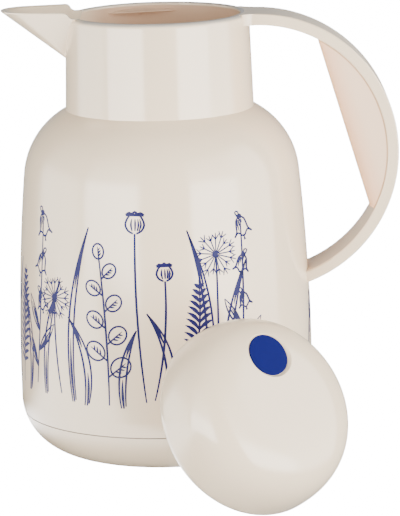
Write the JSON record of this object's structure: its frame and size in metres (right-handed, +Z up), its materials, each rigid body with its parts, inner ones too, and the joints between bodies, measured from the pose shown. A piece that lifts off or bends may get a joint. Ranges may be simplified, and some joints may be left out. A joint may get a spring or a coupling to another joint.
{
  "type": "vacuum jug",
  "caption": "Glass-lined vacuum jug with a straight neck, short pouring spout, ring handle with a grip insert, screw-on base and a rounded bayonet stopper lying beside it.",
  "frame": {"origin": "middle of the jug's foot, on the table", "axes": "+Z up along the jug's axis, +X towards the handle, -X towards the spout, -Y towards the stopper and the viewer"},
  "size_m": [0.1862, 0.2326, 0.211],
  "materials": {
    "ivory_shell": "smooth glossy ivory",
    "warm_ivory": "smooth ivory with a warm tone",
    "screw_steel": "plain steel",
    "silvered_glass": "silvered on the vacuum side",
    "spacer_fibre": "pressed fibre",
    "dark_rubber": "matte",
    "white_foam": "rigid foam",
    "pale_silicone": "satin",
    "cobalt_blue": "smooth"
  },
  "bodies": {
    "jug": {"outer_jacket": "ivory_shell", "neck_collar": "ivory_shell", "handle_strap": "ivory_shell", "handle_grip": "warm_ivory", "handle_screws": "screw_steel", "flask_outer_bulb": "silvered_glass", "flask_inner_bulb": "silvered_glass", "flask_spacers": "spacer_fibre", "neck_gasket": "dark_rubber"},
    "cushion": {"base_cushion": "dark_rubber"},
    "base": {"base_cap": "ivory_shell"},
    "stopper": {"stopper_dome": "ivory_shell", "stopper_plug": "warm_ivory", "stopper_core": "white_foam", "stopper_seal": "pale_silicone", "plug_floor": "warm_ivory", "pour_mark": "cobalt_blue"}
  },
  "joints": [
    {"name": "stopper_lift", "type": "slide", "parent": "jug", "child": "stopper", "axis": [0, 0, 1], "range_m": [0, 0.25]},
    {"name": "base_drop", "type": "slide", "parent": "jug", "child": "cushion", "axis": [0, 0, -1], "range_m": [0, 0.0075]},
    {"name": "base_turn", "type": "hinge", "parent": "cushion", "child": "base", "pos_m": [0, 0, 0], "axis": [0, 0, -1], "range_deg": [0, 540]}
  ],
  "couplings": [
    {"joint": "base_drop", "follows": "base_turn", "m_per_rad": 0.00079577}
  ]
}
